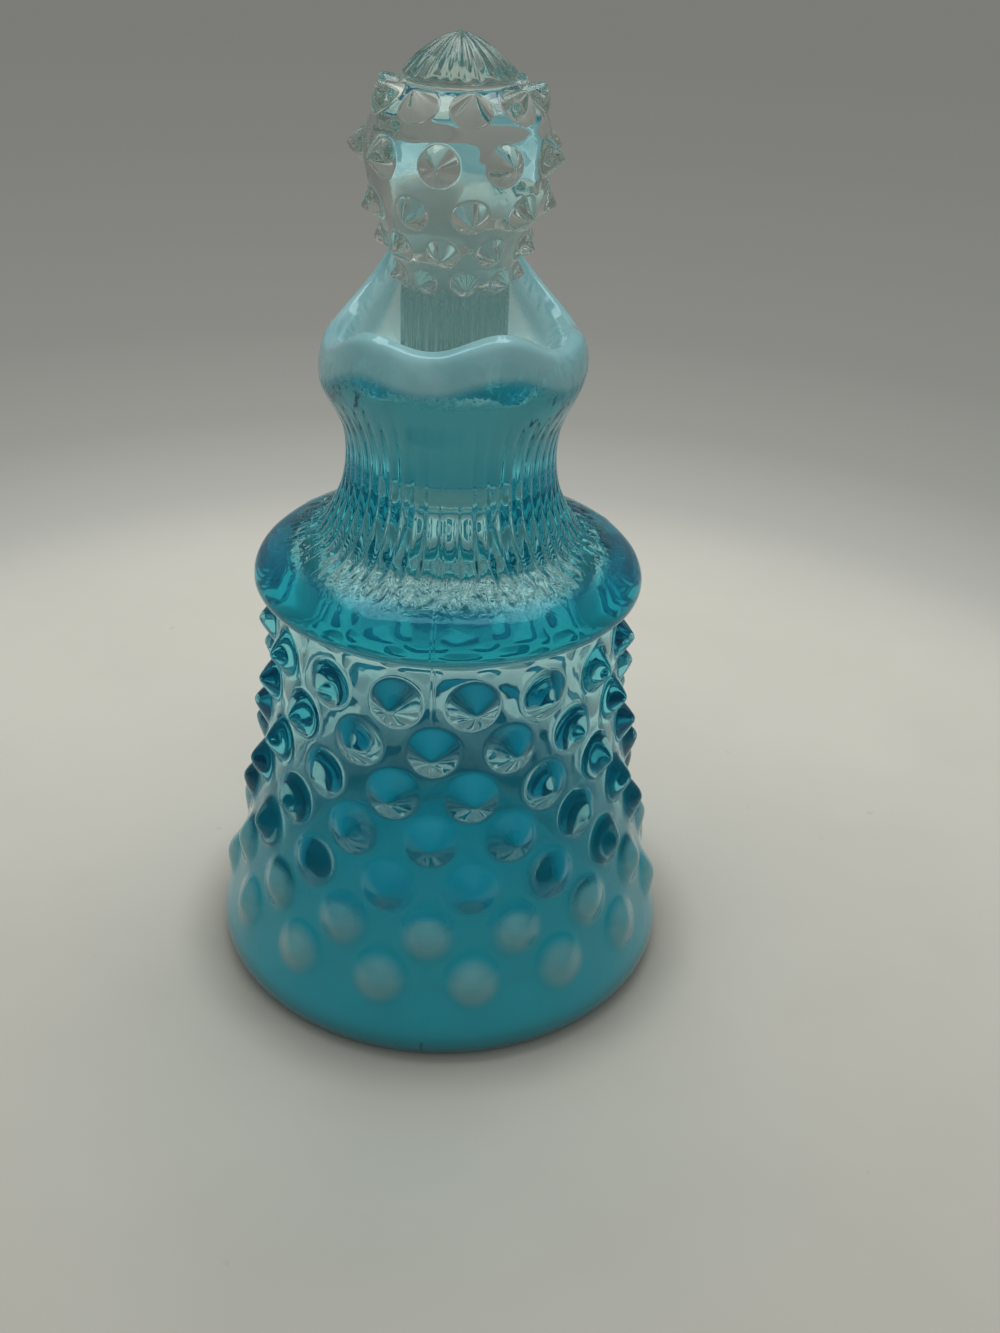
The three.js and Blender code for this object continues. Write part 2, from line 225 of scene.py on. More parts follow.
def build_mesh(name, parts, marks):
    """One closed mesh out of bands of rings. Each part is (rings, columns, 3) in millimetres, and
    a part's column count is that of the one before, or a whole share of it. The first and the
    last ring close on the axis. marks gives each named value per corner, in the parts' shapes."""
    corners, counts, starts = [], [], []
    total = 0
    for part in parts:
        corners.append(part.reshape(-1, 3))
        starts.append(total)
        counts.append(part.shape[1])
        total += part.shape[0] * part.shape[1]
    first, last = parts[0][0].mean(0), parts[-1][-1].mean(0)
    places = np.concatenate(corners + [first[None], last[None]])
    loops, lengths = [], []

    def add(faces):
        loops.append(faces.ravel())
        lengths.append(np.full(len(faces), faces.shape[1]))

    for part, start in zip(parts, starts):
        rings, columns = part.shape[:2]
        index = start + np.arange(rings * columns).reshape(rings, columns)
        beside = np.roll(index, -1, axis=1)
        add(np.stack([index[:-1], beside[:-1], beside[1:], index[1:]], 2).reshape(-1, 4))
    for i in range(len(parts) - 1):
        outer, inner = parts[i], parts[i + 1]
        ratio = counts[i] // counts[i + 1]
        ring = starts[i] + (outer.shape[0] - 1) * counts[i] + np.arange(counts[i])
        inward = starts[i + 1] + np.arange(counts[i + 1])
        run = [np.roll(ring, -k)[::ratio] for k in range(ratio + 1)]
        add(np.stack(run + [np.roll(inward, -1), inward], 1))
    ring = np.arange(counts[0])
    add(np.stack([np.full(counts[0], total), np.roll(ring, -1), ring], 1))
    ring = starts[-1] + (parts[-1].shape[0] - 1) * counts[-1] + np.arange(counts[-1])
    add(np.stack([ring, np.roll(ring, -1), np.full(counts[-1], total + 1)], 1))

    loops, lengths = np.concatenate(loops), np.concatenate(lengths)
    mesh = bpy.data.meshes.new(name)
    mesh.vertices.add(len(places))
    mesh.vertices.foreach_set("co", (places * MM).astype(np.float32).ravel())
    mesh.loops.add(len(loops))
    mesh.loops.foreach_set("vertex_index", loops.astype(np.int32))
    mesh.polygons.add(len(lengths))
    mesh.polygons.foreach_set("loop_start", (np.cumsum(lengths) - lengths).astype(np.int32))
    mesh.update(calc_edges=True)
    mesh.validate()
    mesh.shade_smooth()
    for mark, values in marks.items():
        ends = [values[0][0].mean(), values[-1][-1].mean()]
        flat = np.concatenate([v.ravel() for v in values] + [ends])
        layer = mesh.attributes.new(mark, "FLOAT", "POINT")
        layer.data.foreach_set("value", flat.astype(np.float32))
    piece = bpy.data.objects.new(name, mesh)
    bpy.context.scene.collection.objects.link(piece)
    return piece


def revolve(radius, height, turn):
    return np.stack([radius * np.sin(turn), -radius * np.cos(turn), height + 0 * turn], 2)


def bottle_outside():
    """Outline from the underside's middle up to the crest of the lip."""
    ring_inside = FOOT_RADIUS - FOOT_RING_WIDTH
    under = resample([(0.4, FOOT_HOLLOW), (ring_inside - 1.4, FOOT_HOLLOW), (ring_inside, 0),
                      (FOOT_RADIUS - 0.6, 0)], 0.6)
    height = np.linspace(0, WAIST_HEIGHT, 600)
    band = BAND_RADIUS + 0.12
    round_over = -0.5 * np.log(np.exp(-band / 0.5) + np.exp(-(bell(height)) / 0.5))
    foot = 2.8 * (1 - np.sqrt(1 - (1 - np.clip(height / BAND_HEIGHT, 0, 1)) ** 2))
    wall = np.stack([round_over - foot, height], 1)
    collar = spline([(WAIST_RADIUS + 0.9, WAIST_HEIGHT + 0.1), (COLLAR_RADIUS - 1.0, WAIST_HEIGHT + 0.4),
                     (COLLAR_RADIUS - 0.2, WAIST_HEIGHT + 1.2), (COLLAR_RADIUS, WAIST_HEIGHT + 2.3),
                     (COLLAR_RADIUS - 0.75, WAIST_HEIGHT + 4.1), (COLLAR_RADIUS - 2.7, WAIST_HEIGHT + 5.8),
                     (22.0, COLLAR_TOP - 1.55), (SHOULDER_RADIUS, COLLAR_TOP + 0.1)])
    neck = spline([(SHOULDER_RADIUS, COLLAR_TOP + 0.1), (17.2, COLLAR_TOP + 2.0), (15.2, 76.2),
                   (THROAT_RADIUS, THROAT_HEIGHT), (THROAT_RADIUS + 0.6, THROAT_HEIGHT + 5),
                   (LIP_RADIUS + 1.84, LIP_HEIGHT - 8), (LIP_RADIUS + 2.3, LIP_HEIGHT - 4.4),
                   (LIP_RADIUS + 1.61, LIP_HEIGHT - 1.1), (LIP_RADIUS, LIP_HEIGHT)])
    upper = soften(resample(np.concatenate([wall, collar, neck[1:]]), 0.27), 1.2)
    return np.concatenate([soften(under, 0.7)[:-1], upper])


def bottle_inside():
    """Outline from the crest of the lip down the mouth, the ground bore and the hollow."""
    half = LIP_THICKNESS / 2
    mouth = plug_radius(PLUG_TOP[1]) + SEAT_GAP
    funnel = spline([(LIP_RADIUS, LIP_HEIGHT), (LIP_RADIUS - 0.8 * half, LIP_HEIGHT - 1.2),
                     (LIP_RADIUS - 1.6 * half, LIP_HEIGHT - 3.8), (9.6, 94.3), (mouth, 92.7)])
    funnel = soften(resample(funnel, 0.4), 0.8)[1:]
    bore = resample([(mouth, 92.7), (plug_radius(SEAT_BOTTOM) + SEAT_GAP, SEAT_BOTTOM)], 1.0)
    bore = np.concatenate([bore[1:], [(5.6, 77.7), (6.4, 76.8)]])
    heights = np.linspace(WAIST_HEIGHT - WALL / 2, 11, 60)
    hollow = np.concatenate([
        spline([(6.9, 75.6), (7.0, 73.5), (7.3, 71.0), (9.2, 68.6), (12.6, 66.8), (16.2, 64.8),
                (19.2, 61.8), (bell(heights[0]) - WALL, heights[0])]),
        np.stack([bell(heights) - WALL, heights], 1)[1:],
        spline([(bell(11) - WALL, 11), (bell(11) - WALL - 1.4, 7.6), (bell(11) - WALL - 5, 6.05)])[1:],
        [(12, FLOOR_THICKNESS), (0.4, FLOOR_THICKNESS)],
    ])
    return funnel, bore, soften(resample(hollow, 0.7), 1.0)


def hob_rows():
    """Heights of the rows of hobs from the top row down, and for each row what hob_field takes."""
    rows = range(HOB_ROWS)
    last = HOB_ROWS - 1
    heights = [LOWEST_ROW + ROW_PITCH * (last - i) for i in rows]
    radii = [HIGHEST_HOB_RADIUS + (LOWEST_HOB_RADIUS - HIGHEST_HOB_RADIUS) * i / last for i in rows]
    rises = [LOWEST_HOB_RISE + (HOB_RISE - LOWEST_HOB_RISE) * smoothstep(last - i, 0, DOMED_ROWS)
             for i in rows]
    return heights, list(zip(radii, rises, HOB_TIPS, HOB_FEET))


def neck_relief(radius, height, turn, on_neck):
    """Grooves between the neck's ribs, and the stipple on the shoulder below them."""
    ribbed = fade(radius, 18.0, 21.5) * fade(height, 86, 92) * (1.0 + 0.7 * fade(height, 73, 78.5))
    across = np.abs(wrapped(turn, 2 * math.pi / NECK_RIBS)) * NECK_RIBS / math.pi
    groove = NECK_GROOVE * np.exp(-((1 - across) / 0.36) ** 2) + 0.03 * across ** 2
    stippled = fade(radius, 21.6, 23.2) * smoothstep(radius, 17.6, 18.8)
    grain = np.random.default_rng(5).standard_normal((len(height), len(turn)))
    streaks = soften(soften(grain, 2.4).T, 1.3).T
    streaks = np.clip(streaks / streaks.std(), -2.0, 0.6)
    stipple = STIPPLE_DEPTH * stippled[:, None] * streaks
    return on_neck[:, None] * (stipple - ribbed[:, None] * groove[None, :])


def seam_columns(turn):
    """1 in the columns where the parts of the mould met."""
    columns = np.zeros(len(turn))
    places = np.radians(SEAM_TURNS) % (2 * math.pi) / (2 * math.pi) * len(turn)
    columns[np.round(places).astype(int) % len(turn)] = 1
    return columns


def lip_rim(up, turn, on_neck, mouth_up):
    """How milky the lip is, by the distance below its crest, on the outside and in the mouth."""
    crest = LIP_HEIGHT + ruffle(turn)
    pulled = np.exp(-(wrapped(turn - LIP_HORN_TURN, 2 * math.pi) / (1.2 * LIP_HORN_SPREAD)) ** 2)
    (lip_milk, lip_less), (mouth_milk, mouth_less) = LIP_MILK, MOUTH_MILK
    outer = smoothstep((up - crest) / (lip_milk - lip_less * pulled), -1.25, -0.75) * on_neck[:, None]
    inner = smoothstep((mouth_up - crest) / (mouth_milk - mouth_less * pulled), -1.25, -0.75)
    return np.concatenate([outer, inner])


def wall_hobs(outline, turn):
    """Hobs on the bell wall and their round caps, and how high a hob rises at each height."""
    bare, height = outline.T
    heights, sizes = hob_rows()
    hobs = np.zeros((len(outline), len(turn)))
    caps = np.zeros((len(outline), len(turn)))
    on_wall = np.flatnonzero((height > BAND_HEIGHT) & (height < WAIST_HEIGHT - 0.5)
                             & (bare > WAIST_RADIUS - 0.1) & (along(outline) > 20))
    span = slice(on_wall[0], on_wall[-1] + 1)
    hobs[span], caps[span] = hob_field(outline[span], turn, heights, HOBS_PER_ROW, HOB_TURN, sizes)
    rises = [rise for _, rise, _, _ in sizes]
    return hobs, caps, np.interp(height, heights[::-1], rises[::-1])[:, None]


def inner_bands(turn):
    """Bands of rings of the mouth, the ground seat and the hollow."""
    funnel, bore, hollow = bottle_inside()
    share = soften(np.interp(funnel[:, 1], *MOUTH_WAVE), 1.5)
    mouth_turn = turn[None, :] + 0 * funnel[:, :1]
    mouth = revolve(funnel[:, :1] + 0 * mouth_turn,
                    funnel[:, 1:] + share[:, None] * ruffle(turn)[None, :], mouth_turn)
    inner_turn = turns(INNER_COLUMNS)[None, :]
    seat = revolve(bore[:, :1] + 0 * inner_turn, bore[:, 1:] + 0 * inner_turn, inner_turn + 0 * bore[:, :1])
    waves = INNER_WAVINESS * wobble(inner_turn, hollow[:, 1:], 1.6) * smoothstep(hollow[:, :1], 6, 20)
    inside = revolve(hollow[:, :1] + waves, hollow[:, 1:] + 0 * inner_turn, inner_turn + 0 * hollow[:, :1])
    return mouth, seat, inside


def build_bottle():
    outline = bottle_outside()
    turn = turns(BOTTLE_COLUMNS)
    facing = normals(outline)
    bare, height = outline.T
    reach = along(outline)
    on_neck = (height > 66) & (reach > 60)

    hobs, caps, peak = wall_hobs(outline, turn)
    relief = neck_relief(bare, height, turn, on_neck)
    waves = WAVINESS * wobble(turn[None, :], height[:, None], 1.0) * (height > 1.5)[:, None]
    seam = seam_columns(turn)
    seams = SEAM_RISE * seam[None, :] * ((height > 3) & (height < 86) & (reach > 33))[:, None]
    push = np.minimum(hobs + relief + waves + seams, 3.0)
    share = soften(np.where(on_neck, np.interp(height, *LIP_WAVE), 0), 5)
    radius = np.minimum(bare[:, None] + facing[:, :1] * push, BAND_RADIUS - 0.02)
    up = height[:, None] + facing[:, 1:] * push + share[:, None] * ruffle(turn)[None, :]
    up[height < 1.3] = height[height < 1.3][:, None]
    outside = revolve(radius, up, turn[None, :] + 0 * radius)
    mouth, seat, inside = inner_bands(turn)
    parts = [np.concatenate([outside, mouth]), seat, inside]

    def marked(on_outside):
        """Values of a mark that only the outside has."""
        values = [np.zeros(part.shape[:2]) for part in parts]
        values[0][:len(outline)] = on_outside
        return values

    collar = smoothstep(bare, 21.5, 24.5) * smoothstep(height, 61.5, 63.0) * (height < 70)
    chill = on_neck * fade(bare, 22.0, 26.5) * smoothstep(bare, 17.2, 18.6)
    low_caps = caps * np.interp(height, *CAP_MILK)[:, None]
    foot_seam = seam[None, :] * ((height > 0.6) & (height < 3.6) & (reach > 33))[:, None]
    zeros = marked(0)
    return build_mesh("bottle_glass", parts, {
        "hob": marked(np.clip(hobs / peak, 0, 1)), "cap": marked(low_caps), "seam": marked(foot_seam),
        "chill": marked(chill[:, None]), "deep": marked(collar[:, None]),
        "ground": [zeros[0], smoothstep(seat[..., 2], 78.2, 78.8), zeros[2]],
        "within": [zeros[0], zeros[1] + 1, zeros[2] + 1],
        "rim": [lip_rim(up, turn, on_neck, mouth[..., 2]), zeros[1], zeros[2]]})


def stopper_outline():
    """Outline from the tip of the plug up to the top of the crown."""
    plug = spline([(0.3, PLUG_TIP), (2.9, PLUG_TIP + 0.25), (4.4, PLUG_TIP + 1.25), (4.78, 75.9)])
    cone = [(plug_radius(76.2), 76.2), (PLUG_TOP[0] - 0.05, PLUG_TOP[1] - 0.3),
            (PLUG_TOP[0] - 0.2, PLUG_TOP[1]), (STEM_RADIUS, PLUG_TOP[1] + 0.4)]
    stem = [(STEM_RADIUS, PLUG_TOP[1] + 1), (STEM_RADIUS, STEM_TOP - 1.6)]
    knob = spline([(STEM_RADIUS, STEM_TOP - 1.2), (0.64 * KNOB_RADIUS, STEM_TOP + 1.5),
                   (0.85 * KNOB_RADIUS, KNOB_WIDEST - 7.8), (0.97 * KNOB_RADIUS, KNOB_WIDEST - 3.4),
                   (KNOB_RADIUS, KNOB_WIDEST), (0.97 * KNOB_RADIUS, KNOB_WIDEST + 2.8),
                   (0.87 * KNOB_RADIUS, KNOB_WIDEST + 5.6), (KNOB_TOP[0] - 0.3, KNOB_TOP[1] - 0.35)])
    rim = KNOB_TOP[1] + 0.7
    crown = [(KNOB_TOP[0] - 0.1, KNOB_TOP[1]), (CROWN_RADIUS, rim), (CROWN_RADIUS - 0.2, rim + 0.35)]
    cap = spline([(CROWN_RADIUS - 0.25, rim + 0.35), (0.7 * CROWN_RADIUS, rim + 0.46 * CROWN_HEIGHT),
                  (0.34 * CROWN_RADIUS, rim + 0.82 * CROWN_HEIGHT), (0.25, rim + CROWN_HEIGHT)])
    return soften(resample(np.concatenate([plug, cone, stem, knob, crown, cap[1:]]), 0.18), 1.2)


def build_stopper():
    outline = stopper_outline()
    turn = turns(STOPPER_COLUMNS)
    facing = normals(outline)
    height = outline[:, 1]
    rows = [row_height for row_height, _ in KNOB_ROWS]
    widest = KNOB_ROWS[0][1]
    sizes = [(radius, KNOB_HOB_RISE * radius / widest, HOB_TIP, HOB_FOOT) for _, radius in KNOB_ROWS]
    on_knob = np.flatnonzero((height > STEM_TOP - 2) & (height < KNOB_TOP[1] - 0.4))
    span = slice(on_knob[0], on_knob[-1] + 1)
    hobs = np.zeros((len(outline), len(turn)))
    hobs[span], _ = hob_field(outline[span], turn, rows, KNOB_HOBS, KNOB_TURN, sizes)
    stem_share = smoothstep(height, 93, 94) * fade(height, 102.5, 105.5)
    ribs = STEM_RIB_DEPTH * stem_share[:, None] * np.cos(STEM_RIBS * turn)[None, :]
    crown_share = smoothstep(height, 129.9, 130.5) * outline[:, 0] / CROWN_RADIUS
    phase = CROWN_FLUTES * turn + 0.9 * np.sin(5 * turn + 1.0) + 0.6 * np.sin(11 * turn + 2.6)
    uneven = 0.8 + 0.3 * np.sin(7 * turn + 0.4)
    flutes = -0.5 * CROWN_FLUTE_DEPTH * crown_share[:, None] * (uneven * (1 - np.cos(phase)))[None, :]
    smooth_part = smoothstep(height, 94, 97)[:, None]
    waves = WAVINESS * wobble(turn[None, :], height[:, None], 3.0) * smooth_part
    push = hobs + ribs + flutes + waves
    radius = outline[:, :1] + facing[:, :1] * push
    up = height[:, None] + facing[:, 1:] * push
    body = revolve(np.maximum(radius, 0.05), np.minimum(up, STOPPER_TOP), turn[None, :] + 0 * radius)
    ground = smoothstep(height, 78.3, 78.9) * fade(height, 92.2, 92.8)
    satin = np.maximum(0.6 * stem_share, smoothstep(height, 129.6, 130.3))
    marks = {name: [np.repeat(values[:, None], len(turn), 1)]
             for name, values in (("ground", ground), ("satin", satin))}
    return build_mesh("stopper_glass", [body], marks)


class Nodes:
    """Short hand for a material's nodes and links."""

    def __init__(self, material):
        material.use_nodes = True
        self.tree = material.node_tree
        self.tree.nodes.clear()

    def add(self, kind, **settings):
        node = self.tree.nodes.new(kind)
        for name, value in settings.items():
            setattr(node, name, value)
        return node

    def link(self, source, target):
        self.tree.links.new(source, target)

    def feed(self, target, value):
        if isinstance(value, bpy.types.NodeSocket):
            self.link(value, target)
        else:
            target.default_value = value

    def attribute(self, name):
        return self.add("ShaderNodeAttribute", attribute_name=name).outputs["Fac"]

    def math(self, operation, a, b=None, c=None, clamp=False):
        node = self.add("ShaderNodeMath", operation=operation, use_clamp=clamp)
        for socket, value in zip(node.inputs, (a, b, c)):
            if value is not None:
                self.feed(socket, value)
        return node.outputs[0]

    def ramp(self, value, low, high, to_low=0.0, to_high=1.0):
        node = self.add("ShaderNodeMapRange", interpolation_type="SMOOTHSTEP", clamp=True)
        for name, given in (("Value", value), ("From Min", low), ("From Max", high),
                            ("To Min", to_low), ("To Max", to_high)):
            self.feed(node.inputs[name], given)
        return node.outputs["Result"]

    def mix(self, share, a, b):
        node = self.add("ShaderNodeMix", data_type="RGBA")
        self.feed(node.inputs[0], share)
        self.feed(node.inputs[6], a)
        self.feed(node.inputs[7], b)
        return node.outputs[2]

    def noise(self, where, scale, detail=3.0, roughness=0.5, distortion=0.0):
        node = self.add("ShaderNodeTexNoise")
        self.link(where, node.inputs["Vector"])
        for name, value in (("Scale", scale), ("Detail", detail), ("Roughness", roughness),
                            ("Distortion", distortion)):
            node.inputs[name].default_value = value
        return node.outputs["Fac"]

    def bump(self, height, strength, distance, normal=None):
        node = self.add("ShaderNodeBump")
        self.feed(node.inputs["Strength"], strength)
        node.inputs["Distance"].default_value = distance
        self.link(height, node.inputs["Height"])
        if normal is not None:
            self.link(normal, node.inputs["Normal"])
        return node.outputs["Normal"]


def lets_light_through(nodes, shader, tint):
    """Lamps shine through the glass, tinted; eyes still see it refract."""
    path = nodes.add("ShaderNodeLightPath")
    clear = nodes.add("ShaderNodeBsdfTransparent")
    nodes.feed(clear.inputs["Color"], tint)
    both = nodes.add("ShaderNodeMixShader")
    nodes.link(path.outputs["Is Shadow Ray"], both.inputs[0])
    nodes.link(shader, both.inputs[1])
    nodes.link(clear.outputs[0], both.inputs[2])
    return both.outputs[0]


def absorb(nodes, output, red, green, blue):
    """Tint of the glass itself, as absorption per metre."""
    density = 1.02 * max(red, green, blue)
    volume = nodes.add("ShaderNodeVolumeAbsorption")
    volume.inputs["Color"].default_value = (1 - red / density, 1 - green / density, 1 - blue / density, 1)
    volume.inputs["Density"].default_value = density
    nodes.link(volume.outputs[0], output.inputs["Volume"])


def milkiness(nodes, height, cloud, marks):
    """How milky the blue glass is: in the foot, the lip, the low hobs' caps, the collar, the ground seat
    and the underside, whose full milkiness is partly the milky base and partly painted shade that hides the
    floor under the cruet. The shares of the first three come with it."""
    drift = nodes.math("MULTIPLY_ADD", cloud, 0.010, height)
    low = nodes.ramp(drift, 0.016, 0.052, 1.0, 0.0)
    lip = nodes.math("MULTIPLY", marks["rim"], nodes.ramp(cloud, 0.2, 0.7, 0.82, 1.0))
    hob_cap = nodes.math("MULTIPLY", marks["cap"], nodes.ramp(cloud, 0.2, 0.7, 0.8, 1.0))
    high = nodes.math("SUBTRACT", 1.0, nodes.ramp(height, 0.0205, 0.0235, 1.0, 0.0))
    hob_clear = nodes.math("MULTIPLY", nodes.ramp(marks["hob"], 0.03, 0.22), high)
    veil = nodes.math("MULTIPLY_ADD", hob_clear, -0.85, 1.0)
    milk = nodes.math("MULTIPLY", nodes.math("MULTIPLY", low, 0.88), veil)
    for share, strength in ((lip, 0.86), (hob_cap, 0.9), (marks["deep"], 0.42)):
        milk = nodes.math("MAXIMUM", milk, nodes.math("MULTIPLY", share, strength))
    milk = nodes.math("MULTIPLY", milk, nodes.math("MULTIPLY_ADD", marks["within"], -0.5, 1.0))
    milk = nodes.math("MAXIMUM", milk, nodes.math("MULTIPLY", marks["ground"], 0.8))
    # Fully milky at the very bottom, so the dark foot colour covers the underside and hides the floor
    # beneath: partly the milky base, partly painted shade under the cruet.
    milk = nodes.math("MAXIMUM", milk, nodes.ramp(height, 0.0012, 0.002, 1.0, 0.0))
    return milk, low, lip, hob_cap


def milk_colour(nodes, height, cloud, marks, lip, hob_cap):
    """Deep blue on the body and in the collar, pale in the lip and the low hobs' caps; darker at the bottom
    of the foot, which is painted shade, and lighter on milky faces seen from within the glass, which is
    painted light.
    """
    deep = nodes.mix(cloud, *DEEP_BLUE)
    # Darker towards the bottom of the foot: painted shade, with a painted reflection of the floor's shadow
    # on the lowest edge.
    deep = nodes.mix(nodes.ramp(height, 0.0005, 0.007, 1.0, 0.0), deep, FOOT_PAINTED_SHADE_BLUE)
    deep = nodes.mix(marks["seam"], deep, SEAM_BLUE)
    deep = nodes.mix(marks["deep"], deep, COLLAR_BLUE)
    opal = nodes.mix(hob_cap, deep, nodes.mix(cloud, *CAP_BLUE))
    opal = nodes.mix(lip, opal, nodes.mix(cloud, *LIP_BLUE))
    opal = nodes.mix(marks["ground"], opal, SEAT_FROST)
    # Milky faces seen from within the glass, or from behind, get a lighter blue: painted light.
    backfacing = nodes.add("ShaderNodeNewGeometry").outputs["Backfacing"]
    inward = nodes.math("MAXIMUM", marks["within"], backfacing)
    plain = nodes.math("SUBTRACT", 1.0, nodes.math("MAXIMUM", lip, marks["ground"]))
    return nodes.mix(nodes.math("MULTIPLY", inward, plain), opal, INNER_PAINTED_LIGHT_BLUE)


def blue_skin(nodes, where, marks):
    """Roughness, the fine unevenness all over, and the same with the seat's ground grain."""
    grain = nodes.noise(where, 900.0, 4.0, 0.6)
    smooth = nodes.ramp(nodes.noise(where, 160.0, 4.0, 0.6), 0.3, 0.7, 0.012, 0.045)
    roughness = nodes.math("MAXIMUM", smooth, nodes.math("MULTIPLY", marks["ground"], 0.25))
    chilled = nodes.noise(where, 620.0, 2.0, 0.5, 1.2)
    dimples = nodes.bump(chilled, nodes.math("MULTIPLY", marks["chill"], 0.35), 0.00035)
    skin = nodes.bump(nodes.noise(where, 220.0, 2.0, 0.5), 0.25, 0.0002, dimples)
    return roughness, skin, nodes.bump(grain, nodes.math("MULTIPLY", marks["ground"], 0.4), 0.0002, skin)


def blue_glass():
    """Aqua glass that turns milky in the lip and low on the body, most of all in the hobs there."""
    material = bpy.data.materials.new("blue_opalescent_glass")
    nodes = Nodes(material)
    where = nodes.add("ShaderNodeTexCoord").outputs["Object"]
    split = nodes.add("ShaderNodeSeparateXYZ")
    nodes.link(where, split.inputs[0])
    height = split.outputs["Z"]
    names = ("hob", "ground", "chill", "within", "rim", "cap", "deep", "seam")
    marks = {name: nodes.attribute(name) for name in names}
    cloud = nodes.noise(where, 70.0, 3.0, 0.55, 0.6)
    milk, low, lip, hob_cap = milkiness(nodes, height, cloud, marks)
    opal = milk_colour(nodes, height, cloud, marks, lip, hob_cap)
    roughness, skin, frosted = blue_skin(nodes, where, marks)

    glass = nodes.add("ShaderNodeBsdfPrincipled")
    glass.inputs["IOR"].default_value = 1.5
    glass.inputs["Specular Tint"].default_value = (0.25, 0.8, 0.95, 1)
    glass.inputs["Transmission Weight"].default_value = 1.0
    tinted = nodes.mix(marks["deep"], nodes.mix(cloud, *BLUE_TINTS), COLLAR_TINT)
    nodes.feed(glass.inputs["Base Color"], tinted)
    nodes.feed(glass.inputs["Roughness"], roughness)
    nodes.feed(glass.inputs["Normal"], frosted)
    milky = nodes.add("ShaderNodeBsdfPrincipled")
    milky.inputs["IOR"].default_value = 1.45
    milky.inputs["Specular Tint"].default_value = (0.4, 0.85, 0.95, 1)
    nodes.feed(milky.inputs["Coat Weight"], nodes.math("MULTIPLY", nodes.math("MAXIMUM", lip, low), 0.6))
    milky.inputs["Coat Roughness"].default_value = 0.03
    nodes.feed(milky.inputs["Base Color"], opal)
    nodes.feed(milky.inputs["Roughness"], nodes.math("ADD", roughness, 0.06))
    nodes.feed(milky.inputs["Normal"], skin)
    both = nodes.add("ShaderNodeMixShader")
    nodes.link(milk, both.inputs[0])
    nodes.link(glass.outputs[0], both.inputs[1])
    nodes.link(milky.outputs[0], both.inputs[2])
    tint = nodes.mix(milk, (0.88, 0.93, 0.94, 1), (0.08, 0.18, 0.21, 1))
    output = nodes.add("ShaderNodeOutputMaterial")
    nodes.link(lets_light_through(nodes, both.outputs[0], tint), output.inputs["Surface"])
    absorb(nodes, output, *BLUE_ABSORPTION)
    return material


def clear_glass():
    """Nearly colourless glass: bright on the knob, satin on the stem and crown with a darker tint there
    that is painted shade, ground on the plug.
    """
    material = bpy.data.materials.new("clear_pressed_glass")
    nodes = Nodes(material)
    where = nodes.add("ShaderNodeTexCoord").outputs["Object"]
    ground, satin = nodes.attribute("ground"), nodes.attribute("satin")
    smooth = nodes.ramp(nodes.noise(where, 180.0, 4.0, 0.6), 0.3, 0.7, 0.008, 0.03)
    rough = nodes.math("MAXIMUM", smooth, nodes.math("MULTIPLY", satin, 0.10))
    rough = nodes.math("MAXIMUM", rough, nodes.math("MULTIPLY", ground, 0.55))
    skin = nodes.bump(nodes.noise(where, 260.0, 2.0, 0.5), 0.25, 0.0002)
    rubbed = nodes.noise(where, 1100.0, 4.0, 0.6)
    grain = nodes.bump(rubbed, nodes.math("MULTIPLY", ground, 0.5), 0.0002, skin)
    glass = nodes.add("ShaderNodeBsdfPrincipled")
    glass.inputs["IOR"].default_value = 1.5
    # The satin stem and crown are tinted darker: painted shade.
    clear = nodes.mix(satin, nodes.mix(nodes.noise(where, 40.0), *CLEAR_TINTS), SATIN_PAINTED_SHADE_TINT)
    dull = nodes.math("MULTIPLY", ground, 0.88)
    nodes.feed(glass.inputs["Base Color"], nodes.mix(dull, clear, PLUG_FROST))
    nodes.feed(glass.inputs["Roughness"], rough)
    nodes.feed(glass.inputs["Transmission Weight"], nodes.math("SUBTRACT", 1.0, dull))
    nodes.feed(glass.inputs["Normal"], grain)
    output = nodes.add("ShaderNodeOutputMaterial")
    nodes.link(lets_light_through(nodes, glass.outputs[0], (0.95, 0.96, 0.96, 1)), output.inputs["Surface"])
    absorb(nodes, output, *CLEAR_ABSORPTION)
    return material


def seen_ray(nodes):
    """1 for what the camera sees, also in gloss and through glass."""
    path = nodes.add("ShaderNodeLightPath")
    seen = nodes.math("MAXIMUM", path.outputs["Is Camera Ray"], path.outputs["Is Glossy Ray"])
    return nodes.math("MAXIMUM", seen, path.outputs["Is Transmission Ray"])


def floor_mesh():
    """A flat disc of rings that widen outwards."""
    mesh = bpy.data.meshes.new("floor")
    rings = [0.05, 0.1, 0.2, 0.4, 0.8, 1.6, 3.2, 6.4]
    columns = 96
    places = [(0, 0, 0)] + [(r * math.sin(t), -r * math.cos(t), 0) for r in rings for t in turns(columns)]
    faces = [(1 + i, 1 + (i + 1) % columns, 0) for i in range(columns)]
    for ring in range(len(rings) - 1):
        for i in range(columns):
            a, b = 1 + ring * columns + i, 1 + ring * columns + (i + 1) % columns
            faces.append((a, a + columns, b + columns, b))
    mesh.from_pydata(places, [], faces)
    return mesh


